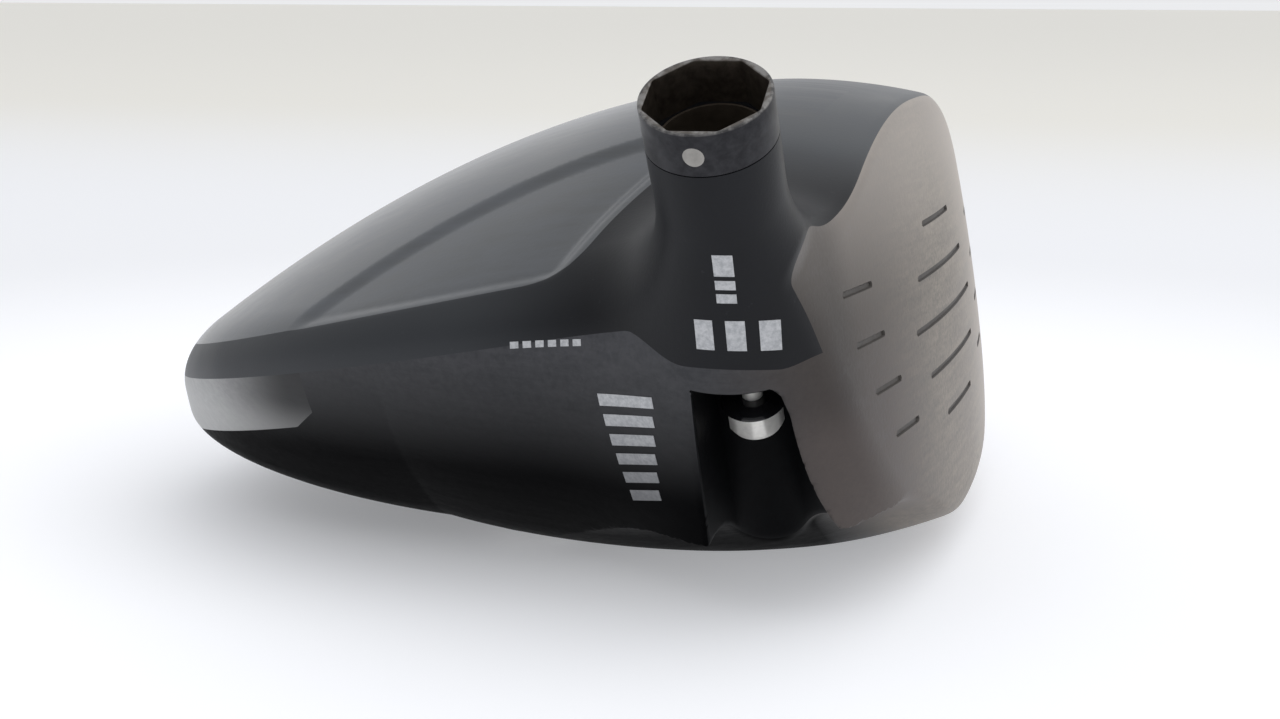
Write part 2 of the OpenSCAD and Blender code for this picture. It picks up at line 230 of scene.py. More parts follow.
def surface_net(f, lo, hi, h):
    """A mesh of f = 0 on a grid of spacing h, made only in the blocks that the surface passes."""
    block, reach = 4, 1.25
    nb = np.ceil((np.array(hi) - lo) / (h * block)).astype(int)
    I = np.stack(np.meshgrid(*[np.arange(n) for n in nb], indexing="ij"), -1).reshape(-1, 3)
    val = f(lo + (I + 0.5) * h * block)
    act = (np.abs(val) < reach * h * block).reshape(nb)
    N = nb * block + 1
    V = np.full(N, 1e3, np.float32)
    m = np.zeros(N, bool)
    for i in range(block + 1):
        for j in range(block + 1):
            for k in range(block + 1):
                m[tuple(slice(a, a + n * block, block) for a, n in zip((i, j, k), nb))] |= act
    idx = np.argwhere(m)
    vals = np.empty(len(idx), np.float32)
    for c in range(0, len(idx), 400000):
        vals[c:c + 400000] = f(lo + idx[c:c + 400000] * h)
    V[m] = vals
    S = V < 0
    ok = np.repeat(np.repeat(np.repeat(act, block, 0), block, 1), block, 2)
    corner = np.array([[i, j, k] for i in (0, 1) for j in (0, 1) for k in (0, 1)])
    tot = sum(S[i:N[0] - 1 + i, j:N[1] - 1 + j, k:N[2] - 1 + k].astype(np.int8) for i, j, k in corner)
    cell = ok & (tot > 0) & (tot < 8)
    C = np.argwhere(cell)
    num = np.full(cell.shape, -1, np.int32)
    num[cell] = np.arange(len(C))
    cv = np.stack([V[C[:, 0] + a, C[:, 1] + b, C[:, 2] + c] for a, b, c in corner], 1)
    acc, cnt = np.zeros((len(C), 3)), np.zeros(len(C))
    for a in range(8):
        for b in range(a + 1, 8):
            if np.abs(corner[a] - corner[b]).sum() != 1:
                continue
            x = (cv[:, a] < 0) != (cv[:, b] < 0)
            t = np.where(x, cv[:, a] / np.where(x, cv[:, a] - cv[:, b], 1), 0)
            acc += np.where(x[:, None], corner[a] + t[:, None] * (corner[b] - corner[a]), 0)
            cnt += x
    P = lo + (C + acc / np.maximum(cnt, 1)[:, None]) * h
    quads = []
    for d in range(3):
        e, g = [a for a in range(3) if a != d]
        sl0, sl1 = [slice(None)] * 3, [slice(None)] * 3
        sl0[d], sl1[d] = slice(0, -1), slice(1, None)
        x = S[tuple(sl0)] != S[tuple(sl1)]
        E = np.argwhere(x)
        keep = (E[:, e] > 0) & (E[:, g] > 0) & (E[:, e] < N[e] - 1) & (E[:, g] < N[g] - 1)
        E = E[keep]
        inside_first = S[tuple(E.T)]
        q = []
        for de, dg in ((0, 0), (-1, 0), (-1, -1), (0, -1)):
            F = E.copy()
            F[:, e] += de
            F[:, g] += dg
            q.append(num[tuple(F.T)])
        q = np.stack(q, 1)
        good = (q >= 0).all(1)
        q, first = q[good], inside_first[good]
        flip = first if d != 1 else ~first
        q[~flip] = q[~flip][:, ::-1]
        quads.append(q)
    Q = np.concatenate(quads)
    P = settle(P, f)
    d1 = np.linalg.norm(P[Q[:, 0]] - P[Q[:, 2]], axis=1)
    d2 = np.linalg.norm(P[Q[:, 1]] - P[Q[:, 3]], axis=1)
    a = d1 <= d2
    T = np.concatenate([Q[a][:, [0, 1, 2]], Q[a][:, [0, 2, 3]],
                        Q[~a][:, [0, 1, 3]], Q[~a][:, [1, 2, 3]]])
    n = np.cross(P[T[:, 1]] - P[T[:, 0]], P[T[:, 2]] - P[T[:, 0]])
    g = grad(f, P[T].mean(1))
    if ((n * g).sum(1) < 0).mean() > 0.5:
        T = T[:, ::-1]
    return P, T


class Mesh:
    """Triangles that are split along lines; src names the triangle each one came from."""

    def __init__(self, P, T):
        self.P, self.T = P, T
        self.lock = np.zeros(len(P), bool)

    def cut(self, f, h, sel, snap):
        """Splits the triangles in sel along h = 0 on f = 0; returns True for each one where h < 0."""
        P, T = self.P, self.T
        used = np.unique(T[sel])
        gv = np.full(len(P), np.nan)
        gv[used] = h(P[used])
        Ts = T[sel]
        E = np.concatenate([Ts[:, [0, 1]], Ts[:, [1, 2]], Ts[:, [2, 0]]])
        E = np.unique(np.sort(E, 1), axis=0)
        X = E[(gv[E[:, 0]] * gv[E[:, 1]]) < 0]
        t = gv[X[:, 0]] / (gv[X[:, 0]] - gv[X[:, 1]])
        near = np.concatenate([X[t < snap, 0], X[t > 1 - snap, 1]])
        near = np.unique(near[~self.lock[near]])
        if len(near):
            P2 = settle2(P[near], f, h)
            okm = np.linalg.norm(P2 - P[near], axis=1) < 0.45
            self.P[near[okm]] = P2[okm]
            gv[near[okm]] = 0
            self.lock[near[okm]] = True
        gv[np.abs(gv) < 1e-4] = 0
        X = E[(gv[E[:, 0]] * gv[E[:, 1]]) < 0]
        t = gv[X[:, 0]] / (gv[X[:, 0]] - gv[X[:, 1]])
        M = P[X[:, 0]] * (1 - t[:, None]) + P[X[:, 1]] * t[:, None]
        M2 = settle2(M, f, h, 3)
        far = np.linalg.norm(M2 - M, axis=1) > 0.35
        M2[far] = M[far]
        base = len(P)
        self.P = np.concatenate([P, M2])
        gv = np.concatenate([gv, np.zeros(len(M2))])
        self.lock = np.concatenate([self.lock, np.ones(len(M2), bool)])
        key = {(a, b): base + i for i, (a, b) in enumerate(map(tuple, X))}
        s = np.sign(gv[T])
        mixed = sel & (s.min(1) < 0) & (s.max(1) > 0)
        out = []
        for tri, sg in zip(T[mixed], s[mixed]):
            if 0 in sg:
                k = list(sg).index(0)
                a, b, c = tri[k], tri[(k + 1) % 3], tri[(k + 2) % 3]
                m = key[(min(b, c), max(b, c))]
                out += [(a, b, m), (a, m, c)]
            else:
                k = [i for i in range(3) if sg[i] != sg[(i + 1) % 3] and sg[i] != sg[(i + 2) % 3]][0]
                a, b, c = tri[k], tri[(k + 1) % 3], tri[(k + 2) % 3]
                m1, m2 = key[(min(a, b), max(a, b))], key[(min(a, c), max(a, c))]
                out += [(a, m1, m2), (m1, b, c), (m1, c, m2)]
        new = np.array(out, int).reshape(-1, 3)
        self.T = np.concatenate([T[~mixed], new])
        rep = []
        for tri, sg in zip(np.flatnonzero(mixed), s[mixed]):
            rep += [tri] * (2 if 0 in sg else 3)
        self.src = np.concatenate([np.flatnonzero(~mixed), np.array(rep, int)])
        gt = np.nansum(gv[self.T], axis=1)
        return gt < 0


# ------------------------------------------------------------ lines that part the shell
def seam_d(P):
    """The seam between the painted upper casting and the bare lower one."""
    x, y, z = P.T
    a = math.radians(88.3)
    v = (y + 57) * math.cos(a) + z * math.sin(a)
    sz = 21 + 0.203 * (np.minimum(x, 26) + 45.7) - 3.2 * step01(x, 25, 33) + 1.6 * step01(x, 43, 48)
    return v - sz


def poly_d(pts):
    """Distance to a polygon in the first two columns, negative inside."""
    pts = np.array(pts, float)

    def d(P):
        p = P[:, :2]
        best, inside = np.full(len(p), 1e9), np.zeros(len(p), bool)
        for a, b in zip(pts, np.roll(pts, -1, 0)):
            e = b - a
            t = np.clip(((p - a) @ e) / (e @ e), 0, 1)
            best = np.minimum(best, np.linalg.norm(p - a - t[:, None] * e, axis=1))
            hit = ((a[1] > p[:, 1]) != (b[1] > p[:, 1]))
            xi = a[0] + (p[:, 1] - a[1]) * e[0] / (e[1] if abs(e[1]) > 1e-9 else 1e-9)
            inside ^= hit & (p[:, 0] < xi)
        return np.where(inside, -best, best)
    return d


neck_cut = poly_d([[17.2, -54], [30, -29.4], [38, -26], [60, -34], [60, -90], [8, -90], [13, -56.2]])


def crown_d(P):
    x, y = P[:, 0], P[:, 1]
    a = (q_of(x, y) - CROWN_END) * OUTLINE_SCALE
    b = np.hypot(x - (41 - FACE_R), y - FACE_Y) - FACE_R
    return smax(smax(a, b, 3), -neck_cut(P), 3)


def sole_d(P):
    return (np.hypot((P[:, 0] - 2) / 45, P[:, 1] / 31) - 1) * 31


rear_poly = poly_d([[-90, 1.6], [-23, 17.8], [-19.5, 20.5], [-21, 40], [-90, 40]])


def rear_d(P):
    return rear_poly(P[:, [0, 2]])


def face_d(P):
    _, _, s, r = axis_co(P)
    return face_x(P[:, 1], P[:, 2]) + hosel_clear(s, r) - 0.42 - P[:, 0]


def port_skin(P):
    return port_d(*axis_co(P)[:3]) - 0.16


def collar_d(P):
    return COLLAR_S - axis_co(P)[2]


def lean_frame(p):
    """Origin on the sole and axes that lean with it, for a weight."""
    x, y = p
    lx, ly = (x - SOLE_X) / (SOLE_R_REAR if x < SOLE_X else SOLE_R_FRONT), y / SOLE_R_SIDE
    a, b = math.atan(ly), -math.atan(lx)
    ca, sa, cb, sb = math.cos(a), math.sin(a), math.cos(b), math.sin(b)
    turn_y = np.array([[cb, 0, sb], [0, 1, 0], [-sb, 0, cb]])
    turn_x = np.array([[1, 0, 0], [0, ca, -sa], [0, sa, ca]])
    return np.array([x, y, float(sole_z(np.array([x]), np.array([y]))[0])]), turn_y @ turn_x


# ------------------------------------------------------------ pieces
def to_object(name, P, faces, nodes, slot, normals=None, body="head", smooth=True, material=None):
    """One visible piece that rides on body and replaces the CAD nodes, in its slot's material."""
    me = bpy.data.meshes.new(name)
    P = (np.asarray(P) + HOME) * MM
    if isinstance(faces, np.ndarray):
        k = faces.shape[1]
        me.vertices.add(len(P))
        me.vertices.foreach_set("co", P.astype(np.float32).ravel())
        me.loops.add(faces.size)
        me.loops.foreach_set("vertex_index", faces.astype(np.int32).ravel())
        me.polygons.add(len(faces))
        me.polygons.foreach_set("loop_start", np.arange(0, faces.size, k, dtype=np.int32))
        me.update(calc_edges=True)
        me.validate(clean_customdata=False)
    else:
        me.from_pydata(P.tolist(), [], [list(map(int, f)) for f in faces])
        me.update()
    me.polygons.foreach_set("use_smooth", [smooth] * len(me.polygons))
    if normals is not None:
        me.normals_split_custom_set(normals.reshape(-1, 3).tolist())
    ob = bpy.data.objects.new(name, me)
    bpy.context.scene.collection.objects.link(ob)
    me.materials.append(material or MATERIALS[slot])
    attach(ob, body)
    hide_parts(*nodes)
    return ob


def mend(ob, weld=True, crease=False):
    """Welds a piece's coinciding points, turns its faces outwards and marks its sharp edges."""
    bm = bmesh.new()
    bm.from_mesh(ob.data)
    if weld:
        bmesh.ops.remove_doubles(bm, verts=bm.verts, dist=1e-6)
    if crease:
        bmesh.ops.dissolve_degenerate(bm, edges=bm.edges, dist=1e-7)
    bmesh.ops.recalc_face_normals(bm, faces=bm.faces)
    if crease:
        for e in bm.edges:
            if len(e.link_faces) == 2 and e.calc_face_angle(0) > math.radians(28):
                e.smooth = False
    bm.to_mesh(ob.data)
    bm.free()


def shell_piece(name, P, T, N, t, nodes, slot, flat=None):
    """A closed shell: the outer triangles, the same pulled in by t, and a rim.

    Triangles in flat keep their own normals."""
    used, inv = np.unique(T, return_inverse=True)
    T = inv.reshape(-1, 3)
    P, N = P[used], N[used]
    n = len(P)
    E = np.concatenate([T[:, [0, 1]], T[:, [1, 2]], T[:, [2, 0]]])
    code = np.minimum(E[:, 0], E[:, 1]) * n + np.maximum(E[:, 0], E[:, 1])
    _, first, count = np.unique(code, return_index=True, return_counts=True)
    B = E[first[count == 1]]
    V = np.concatenate([P, P - N * t])
    rim = np.concatenate([np.stack([B[:, 1], B[:, 0], B[:, 0] + n], 1),
                          np.stack([B[:, 1], B[:, 0] + n, B[:, 1] + n], 1)])
    F = np.concatenate([T, T[:, ::-1] + n, rim])
    fn = np.cross(V[F[:, 1]] - V[F[:, 0]], V[F[:, 2]] - V[F[:, 0]])
    fn /= np.maximum(np.linalg.norm(fn, axis=1, keepdims=True), 1e-12)
    LN = np.concatenate([N[T], -N[T[:, ::-1]], np.repeat(fn[-len(rim):, None], 3, 1)])
    if flat is not None:
        LN[:len(T)][flat] = fn[:len(T)][flat][:, None, :]
    return to_object(name, V, F, nodes, slot, LN)


def turned(name, profile, nodes, slot, n=96, shapes=(), body="head"):
    """Turns a closed (r, s) profile round the hosel axis.

    shapes maps a profile index to a function of angle for its radius."""
    th = np.linspace(0, 2 * math.pi, n, endpoint=False)
    rings = []
    for i, (r, s) in enumerate(profile):
        rr = shapes[i](th) if i in shapes else np.full(n, r)
        rings.append(np.stack([rr * np.cos(th), rr * np.sin(th), np.full(n, s)], 1))
    m = len(profile)
    V = np.concatenate(rings) @ AXES.T + FOOT
    faces = []
    a = np.arange(n)
    b = (a + 1) % n
    for i in range(m):
        j = (i + 1) % m
        if profile[i][0] < 1e-6 and profile[j][0] < 1e-6:
            continue
        faces.append(np.stack([i * n + a, i * n + b, j * n + b, j * n + a], 1))
    mend(to_object(name, V, np.concatenate(faces), nodes, slot, body=body), crease=True)


def fillet(pts, radii, k=4):
    """Rounds the corners of a closed (r, s) profile, each by its own radius."""
    out = []
    m = len(pts)
    for i, (p, ri) in enumerate(zip(pts, radii)):
        p = np.array(p, float)
        a, b = np.array(pts[i - 1], float) - p, np.array(pts[(i + 1) % m], float) - p
        la, lb = np.linalg.norm(a), np.linalg.norm(b)
        a, b = a / la, b / lb
        ang = math.acos(np.clip(a @ b, -1, 1))
        d = min(ri / math.tan(ang / 2), la * 0.45, lb * 0.45)
        rr = d * math.tan(ang / 2)
        c = p + (a + b) / np.linalg.norm(a + b) * rr / math.sin(ang / 2)
        p0, p1 = p + a * d, p + b * d
        t0, t1 = math.atan2(*(p0 - c)[::-1]), math.atan2(*(p1 - c)[::-1])
        dt = (t1 - t0 + math.pi) % (2 * math.pi) - math.pi
        turn = [t0 + dt * j / k for j in range(k + 1)]
        out += [tuple(c + rr * np.array([math.cos(t), math.sin(t)])) for t in turn]
    return out


# ------------------------------------------------------------ materials
def lin(c):
    """A colour given as 0 to 255 sRGB, as linear values with alpha."""
    c = [v / 255 for v in c]
    return tuple((v / 12.92 if v <= 0.04045 else ((v + 0.055) / 1.055) ** 2.4) for v in c) + (1,)


class Mat:
    """A material on the piece's object coordinates, with short names for the nodes it uses."""

    def __init__(self, name):
        self.m = bpy.data.materials.new(name)
        self.m.use_nodes = True
        self.t = self.m.node_tree
        self.b = self.t.nodes["Principled BSDF"]
        self.co = self.add("ShaderNodeTexCoord").outputs["Object"]

    def add(self, kind, **props):
        n = self.t.nodes.new(kind)
        for k, v in props.items():
            setattr(n, k, v)
        return n

    def link(self, a, b):
        self.t.links.new(a, b)

    def mapping(self, scale=(1, 1, 1), rot=(0, 0, 0)):
        n = self.add("ShaderNodeMapping")
        n.inputs["Scale"].default_value = scale
        n.inputs["Rotation"].default_value = rot
        self.link(self.co, n.inputs["Vector"])
        return n.outputs[0]

    def noise(self, scale, detail=3, rough=0.5, vec=None, dist=0.0):
        n = self.add("ShaderNodeTexNoise")
        n.inputs["Scale"].default_value = scale
        n.inputs["Detail"].default_value = detail
        n.inputs["Roughness"].default_value = rough
        n.inputs["Distortion"].default_value = dist
        self.link(vec or self.co, n.inputs["Vector"])
        return n.outputs["Fac"]

    def feed(self, socket, v):
        if isinstance(v, (int, float, tuple)):
            socket.default_value = v
        else:
            self.link(v, socket)

    def math(self, op, a, b):
        n = self.add("ShaderNodeMath", operation=op)
        self.feed(n.inputs[0], a)
        self.feed(n.inputs[1], b)
        return n.outputs[0]

    def times(self, a, b):
        return self.math("MULTIPLY", a, b)

    def weighted(self, a, wa, b, wb):
        """a and b added, each times its weight."""
        return self.math("ADD", self.times(a, wa), self.times(b, wb))

    def vector(self, op, a, b=None):
        n = self.add("ShaderNodeVectorMath", operation=op)
        self.link(a, n.inputs[0])
        if b is not None:
            n.inputs[1].default_value = b
        return n.outputs

    def mapr(self, fac, a0, a1, b0=0, b1=1, smooth=True):
        """Maps a0..a1 to b0..b1, and stays at the end values outside it."""
        n = self.add("ShaderNodeMapRange")
        n.clamp = True
        if smooth:
            n.interpolation_type = "SMOOTHSTEP"
        for k, v in zip(("From Min", "From Max", "To Min", "To Max"), (a0, a1, b0, b1)):
            n.inputs[k].default_value = v
        self.link(fac, n.inputs["Value"])
        return n.outputs[0]

    def line(self, fac, a0, a1, b0=0, b1=1):
        return self.mapr(fac, a0, a1, b0, b1, smooth=False)

    def mix(self, fac, a, b):
        n = self.add("ShaderNodeMix", data_type="RGBA")
        for key, v in ((0, fac), (6, a), (7, b)):
            self.feed(n.inputs[key], v)
        return n.outputs[2]

    def spread(self, fac, a0, a1, dark, light):
        """A colour between two sRGB colours, along a noise."""
        return self.mix(self.line(fac, a0, a1), lin(dark), lin(light))

    def xyz(self):
        n = self.add("ShaderNodeSeparateXYZ")
        self.link(self.co, n.inputs[0])
        return n.outputs

    def set(self, **kw):
        for k, v in kw.items():
            self.feed(self.b.inputs[k.replace("_", " ")], v)

    def bump(self, height, strength, dist):
        n = self.add("ShaderNodeBump")
        n.inputs["Strength"].default_value = strength
        n.inputs["Distance"].default_value = dist
        self.link(height, n.inputs["Height"])
        self.link(n.outputs[0], self.b.inputs["Normal"])


def paint_material():
    """Satin blue-black paint: lighter at the rear by a painted reflection, and like the crown on the strip
    behind the face.
    """
    m = Mat("painted_shell")
    fine, broad = m.noise(2600, 2), m.noise(60, 3, 0.55)
    x, y, z = m.xyz()
    col = m.spread(broad, 0.35, 0.7, (17, 18, 21), (24, 25, 29))
    # painted reflection: the paint is lightened towards the rear rim
    col = m.mix(m.mapr(x, 0.0, 0.022, 0.95, 0), col, lin((53, 55, 58)))
    strip = m.times(m.mapr(y, -0.036, -0.021), m.mapr(x, 0.024, 0.036))
    strip = m.times(strip, m.mapr(z, 0.030, 0.046))
    col = m.mix(strip, col, m.spread(broad, 0.35, 0.7, (53, 56, 59), (62, 66, 71)))
    dust = m.line(m.noise(900, 4, 0.7), 0.66, 0.74, 0, 0.18)
    col = m.mix(dust, col, lin((70, 71, 76)))
    m.set(Base_Color=col, Metallic=0.0, Roughness=m.line(broad, 0.3, 0.7, 0.36, 0.46),
          Specular_IOR_Level=m.line(strip, 0, 1, 0.17, 0.4), Coat_Weight=m.line(strip, 0, 1, 0, 0.12),
          Coat_Roughness=0.18)
    m.bump(fine, 0.25, 0.00004)
    return m.m


def crown_material():
    """Streaked dark composite under a clear coat, glossier to the rear."""
    m = Mat("crown_composite")
    broad = m.noise(45, 4, 0.6)
    streak = m.noise(90, 3, 0.6, m.mapping((0.35, 5.5, 5.5), rot=(0, 0, 0.45)))
    weave = m.noise(2200, 2)
    f = m.weighted(broad, 0.5, streak, 0.5)
    x = m.xyz()[0]
    m.set(Base_Color=m.spread(f, 0.38, 0.66, (50, 53, 56), (64, 68, 74)), Metallic=0.0,
          Roughness=m.line(f, 0.35, 0.7, 0.36, 0.5), Specular_IOR_Level=0.4,
          Coat_Weight=m.mapr(x, 0.004, 0.036, 0.72, 0.12), Coat_Roughness=0.18)
    m.bump(weave, 0.25, 0.00005)
    return m.m


def bright_steel(m, y, z):
    """Colour, grain and roughness of the bright cast steel that the face and the chin share, with painted
    shade towards the heel and painted light towards the toe and the top.
    """
    brush = m.noise(900, 4, 0.7, m.mapping((1, 0.07, 1)))
    speck = m.noise(1500, 3, 0.7)
    broad = m.noise(38, 3, 0.55)
    f = m.weighted(brush, 0.45, speck, 0.55)
    col = m.spread(f, 0.36, 0.66, (100, 94, 86), (166, 157, 146))
    col = m.mix(m.line(broad, 0.35, 0.7, 0, 0.3), col, lin((130, 122, 117)))
    purple = m.times(m.mapr(y, -0.046, -0.014, 1, 0), m.mapr(z, 0.024, 0.040, 1, 0))
    col = m.mix(m.times(purple, 0.5), col, lin((104, 87, 94)))
    # painted shade darkens the steel towards the heel; painted light lightens it towards the toe and the top
    col = m.mix(m.mapr(y, -0.046, 0.006, 0.85, 0), col, lin((70, 65, 62)))
    col = m.mix(m.mapr(y, 0.0, 0.060, 0, 0.75), col, lin((205, 196, 188)))
    col = m.mix(m.mapr(z, 0.034, 0.056, 0, 0.45), col, lin((205, 197, 190)))
    over_port = m.times(m.mapr(y, -0.047, -0.038, 1, 0), m.mapr(z, 0.022, 0.029))
    col = m.mix(m.times(over_port, 0.4), col, lin((40, 38, 38)))
    return col, f, m.line(f, 0.35, 0.7, 0.42, 0.56)


def bare_material():
    """Dark bare cast metal, brushed along the side, bright at the nose and black at the sole; painted shade
    darkens faces that look down and the nose low by the floor, and the nose's bright steel carries painted
    shade and light.
    """
    m = Mat("bare_casting")
    x, y, z = m.xyz()
    brush = m.noise(700, 4, 0.65, m.mapping((0.06, 1.0, 1.0), rot=(0, 0.22, 0)))
    mottle = m.noise(1100, 4, 0.65, dist=0.3)
    f = m.weighted(brush, 0.5, mottle, 0.5)
    dark = m.spread(f, 0.36, 0.66, (57, 58, 61), (76, 76, 79))
    bright, bright_f, bright_rough = bright_steel(m, y, z)
    # painted shade near the floor: the bright nose gives way to dark lower down
    sunk = m.line(z, 0.002, 0.010, 0.006, 0)
    nose = m.mapr(m.math("SUBTRACT", x, sunk), 0.032, 0.047)
    away = m.math("SUBTRACT", 1.0, nose)
    low = m.times(m.mapr(z, 0.014, 0.038, 1, 0), away)
    col = m.mix(low, m.mix(nose, dark, bright), lin((5, 5, 6)))
    # painted shade: faces that look straight down, and those that look mostly down behind the nose, go near
    # black
    facing = m.add("ShaderNodeSeparateXYZ")
    m.link(m.add("ShaderNodeTexCoord").outputs["Normal"], facing.inputs[0])
    down = facing.outputs[2]
    heelward_shade = m.times(m.mapr(down, -0.86, -0.68, 1, 0), m.line(x, 0.041, 0.050, 1, 0))
    under_shade = m.math("MAXIMUM", m.line(down, -0.99, -0.95, 1, 0), heelward_shade)
    col = m.mix(under_shade, col, lin((6, 6, 7)))
    low = m.math("MAXIMUM", low, under_shade)
    m.set(Base_Color=col, Metallic=m.line(low, 0, 0.8, 0.8, 0),
          Roughness=m.weighted(m.line(f, 0.35, 0.7, 0.36, 0.5), away, bright_rough, nose),
          Specular_IOR_Level=m.line(low, 0, 1, 0.5, 0.012))
    m.bump(m.weighted(f, away, bright_f, nose), 0.35, 0.00006)
    return m.m


def face_material():
    m = Mat("face_metal")
    _, y, z = m.xyz()
    # the colour carries bright_steel's painted shade and painted light
    col, f, rough = bright_steel(m, y, z)
    m.set(Base_Color=col, Metallic=0.8, Roughness=rough)
    m.bump(f, 0.6, 0.00009)
    return m.m


def metal(name, dark, light, rough, metallic, scale=900, bump=0.15, spec=0.5):
    """A plain metal, paint or polymer that varies between two sRGB colours."""
    m = Mat(name)
    n1 = m.noise(scale, 4, 0.6)
    n2 = m.noise(scale * 0.12, 3, 0.5)
    m.set(Base_Color=m.spread(m.weighted(n1, 0.6, n2, 0.4), 0.36, 0.64, dark, light),
          Metallic=metallic, Roughness=m.line(n2, 0.3, 0.7, *rough), Specular_IOR_Level=spec)
    m.bump(n1, bump, 0.00004)
    return m.m


def sole_material():
    """Matt black composite with a faint diagonal weave."""
    m = Mat("sole_composite")
    broad = m.noise(40, 4, 0.6)
    weave = m.add("ShaderNodeTexBrick")
    for key, v in (("Scale", 420), ("Mortar Size", 0.02), ("Color1", (0.2, 0.2, 0.2, 1)),
                   ("Color2", (0.8, 0.8, 0.8, 1)), ("Mortar", (0.0, 0.0, 0.0, 1))):
        weave.inputs[key].default_value = v
    m.link(m.mapping(rot=(0, 0, 0.785)), weave.inputs["Vector"])
    col = m.mix(weave.outputs["Color"], lin((6, 7, 8)), lin((12, 13, 15)))
    m.set(Base_Color=col, Metallic=0.0, Roughness=m.line(broad, 0.3, 0.7, 0.46, 0.6),
          Specular_IOR_Level=0.05)
    m.bump(weave.outputs["Color"], 0.2, 0.00004)
    return m.m


def collar_material():
    """Dark turned metal, rubbed bright along the mouth's rim with a painted glint on it, with a browner
    octagon inside that is a painted reflection.
    """
    m = Mat("collar_metal")
    n1, n2 = m.noise(900, 4, 0.6), m.noise(110, 3, 0.5)
    foot = FOOT + HOME
    along = m.vector("DOT_PRODUCT", m.co, tuple(AX))["Value"]
    mouth = float(foot @ AX + MOUTH_S) * MM
    off = m.vector("SUBTRACT", m.co, tuple(foot * MM))[0]
    radius = m.vector("LENGTH", m.vector("CROSS_PRODUCT", off, tuple(AX))[0])["Value"]
    col = m.spread(n1, 0.36, 0.64, (34, 34, 37), (49, 49, 52))
    # painted reflection: the octagon's inner walls take a warm brown
    bore_reflection_brown = m.spread(n1, 0.36, 0.64, (66, 59, 52), (90, 82, 73))
    col = m.mix(m.line(radius, 0.00664, 0.00672, 1, 0), col, bore_reflection_brown)
    # edge wear and a painted glint: a bright line along the mouth's rim
    rim_wear_and_glint = m.line(along, mouth - 0.00022, mouth - 0.00004)
    rim_wear_and_glint = m.times(rim_wear_and_glint, m.line(n1, 0.42, 0.6, 0.25, 1))
    col = m.mix(rim_wear_and_glint, col, lin((128, 126, 124)))
    m.set(Base_Color=col, Metallic=0.75, Roughness=m.line(n2, 0.3, 0.7, 0.34, 0.46))
    m.bump(n1, 0.15, 0.00004)
    return m.m


def pad_material():
    """Light alloy with painted shade that darkens it towards its ends, and a painted highlight that lightens
    it along its lower edge.
    """
    m = Mat("pad_alloy")
    x, _, z = m.xyz()
    grain = m.noise(1300, 3, 0.6, m.mapping((0.25, 1, 1)))
    col = m.spread(grain, 0.35, 0.65, (148, 148, 148), (166, 166, 165))
    # painted shade: darker towards the pad's end
    col = m.mix(m.mapr(x, -0.043, -0.023, 0, 0.97), col, lin((38, 38, 39)))
    # painted highlight: lighter along the lower edge
    col = m.mix(m.mapr(z, 0.016, 0.022, 0.3, 0), col, lin((200, 200, 198)))
    m.set(Base_Color=col, Metallic=0.7, Roughness=m.line(grain, 0.3, 0.7, 0.44, 0.52))
    m.bump(grain, 0.15, 0.00003)
    return m.m


def mark_material():
    """Worn pale paint of the generic marks, with painted shade that darkens it low on the side."""
    m = Mat("mark_paint")
    z = m.xyz()[2]
    wear = m.noise(1600, 4, 0.7)
    col = m.spread(wear, 0.36, 0.62, (160, 162, 165), (192, 193, 195))
    # painted shade: the marks darken low on the side
    col = m.mix(m.mapr(z, 0.012, 0.030, 0.75, 0), col, lin((50, 50, 53)))
    m.set(Base_Color=col, Metallic=0.0, Roughness=m.line(wear, 0.3, 0.7, 0.5, 0.62))
    return m.m


MATERIALS = {
    "painted_shell": paint_material(),
    "bare_casting": bare_material(),
    "face_metal": face_material(),
    "crown_composite": crown_material(),
    "sole_composite": sole_material(),
    "pad_alloy": pad_material(),
    "collar_metal": collar_material(),
}
for name, *look in (
    # liner_metal's warm brown is a painted reflection inside the deep bore
    ("liner_metal", (70, 62, 53), (92, 83, 73), (0.4, 0.55), 0.4, 700, 0.2),
    ("dot_paint", (134, 131, 126), (158, 155, 150), (0.45, 0.6), 0.0, 1200),
    ("port_black", (6, 6, 8), (10, 11, 13), (0.46, 0.58), 0.0, 500, 0.15, 0.06),
    ("seat_metal", (70, 70, 72), (94, 94, 95), (0.35, 0.5), 0.9),
    ("screw_metal", (222, 220, 215), (240, 238, 233), (0.34, 0.44), 0.5, 1400, 0.1),
    ("washer_black", (20, 20, 22), (28, 28, 31), (0.12, 0.2), 0.0, 900, 0.05),
    ("clip_metal", (120, 121, 123), (150, 150, 152), (0.3, 0.45), 1.0, 900, 0.1),
    ("cup_metal", (66, 67, 71), (88, 89, 92), (0.35, 0.5), 0.9),
    ("weight_metal", (128, 127, 124), (166, 164, 160), (0.28, 0.42), 1.0, 1200, 0.12),
    ("ring_polymer", (120, 24, 24), (150, 34, 34), (0.35, 0.5), 0.0, 900, 0.1),
):
    MATERIALS[name] = metal(name, *look)
groove_fill = metal("groove_fill", (64, 60, 56), (78, 73, 69), (0.5, 0.65), 0.2, bump=0.1)
mark_paint = mark_material()


# ------------------------------------------------------------ the shell
GRID = 0.6
LOW_CORNER, HIGH_CORNER = np.array([-58.0, -80.0, -2.0]), np.array([60.0, 65.0, 66.0])
GONE, UPPER, LOWER, FACE, CROWN, SOLE, PAD, LINING = range(-1, 7)
mesh = Mesh(*surface_net(skin, LOW_CORNER, HIGH_CORNER, GRID))
lab = np.full(len(mesh.T), UPPER)


def centres():
    return mesh.P[mesh.T].mean(1)


def step(h, code, only, where):
    """Cuts the triangles labelled only, where asked, along h = 0, and labels the inside with code."""
    global lab
    inside = mesh.cut(skin, h, (lab == only) & where(centres()), 0.3)
    lab = lab[mesh.src]
    lab[inside & (lab == only) & where(centres())] = code


def hole_d(o, R):
    return lambda P: np.hypot(*((P - o) @ R)[:, :2].T) - WEIGHT_R


